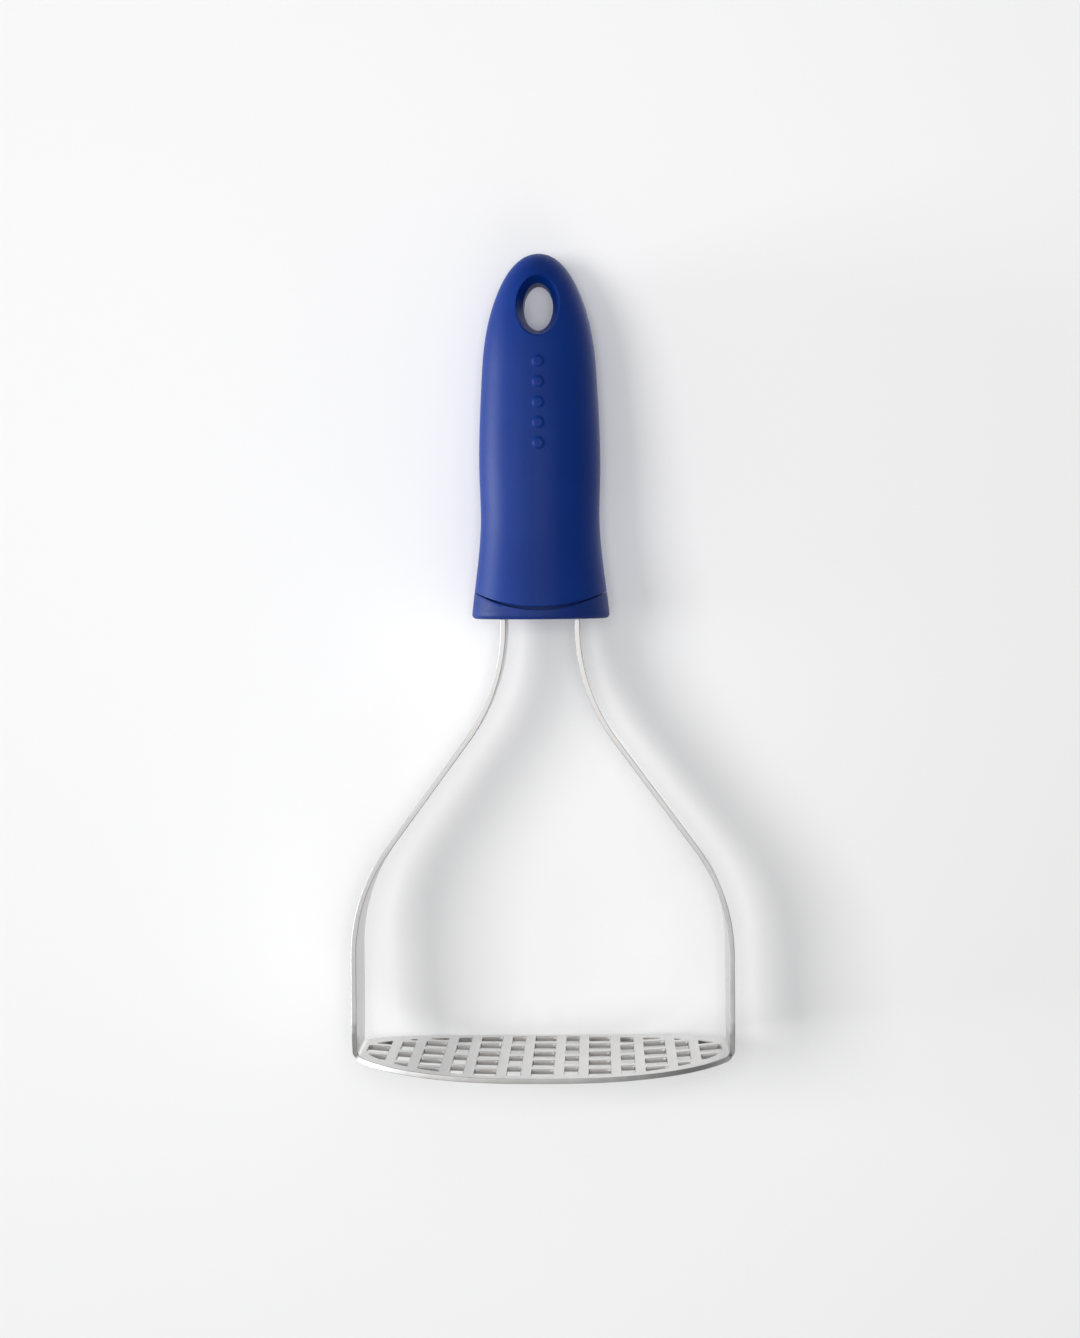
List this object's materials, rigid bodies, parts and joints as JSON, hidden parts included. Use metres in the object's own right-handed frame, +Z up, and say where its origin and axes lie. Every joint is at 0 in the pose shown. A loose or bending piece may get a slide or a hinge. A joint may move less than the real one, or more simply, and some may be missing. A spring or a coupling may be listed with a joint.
{
  "type": "potato ricer",
  "caption": "Hand masher with an oval perforated steel plate on two bent legs and a soft upright handle with a hanging hole.",
  "frame": {"origin": "under the middle of the mashing plate, on the surface that the tool stands on", "axes": "+Z up along the handle, +X along the plate's long side from leg to leg, -Y the front"},
  "size_m": [0.1056, 0.0592, 0.2258],
  "materials": {
    "steel": "satin sheet steel, brushed along the strip",
    "silicone": "matte royal blue silicone",
    "collar_plastic": "satin moulded nylon, fine texture",
    "core_plastic": "moulded nylon, hidden"
  },
  "bodies": {
    "root": {"mashing_head": "steel", "handle_core": "core_plastic", "collar": "collar_plastic", "silicone_grip": "silicone", "tang_pins": "steel"}
  },
  "joints": []
}
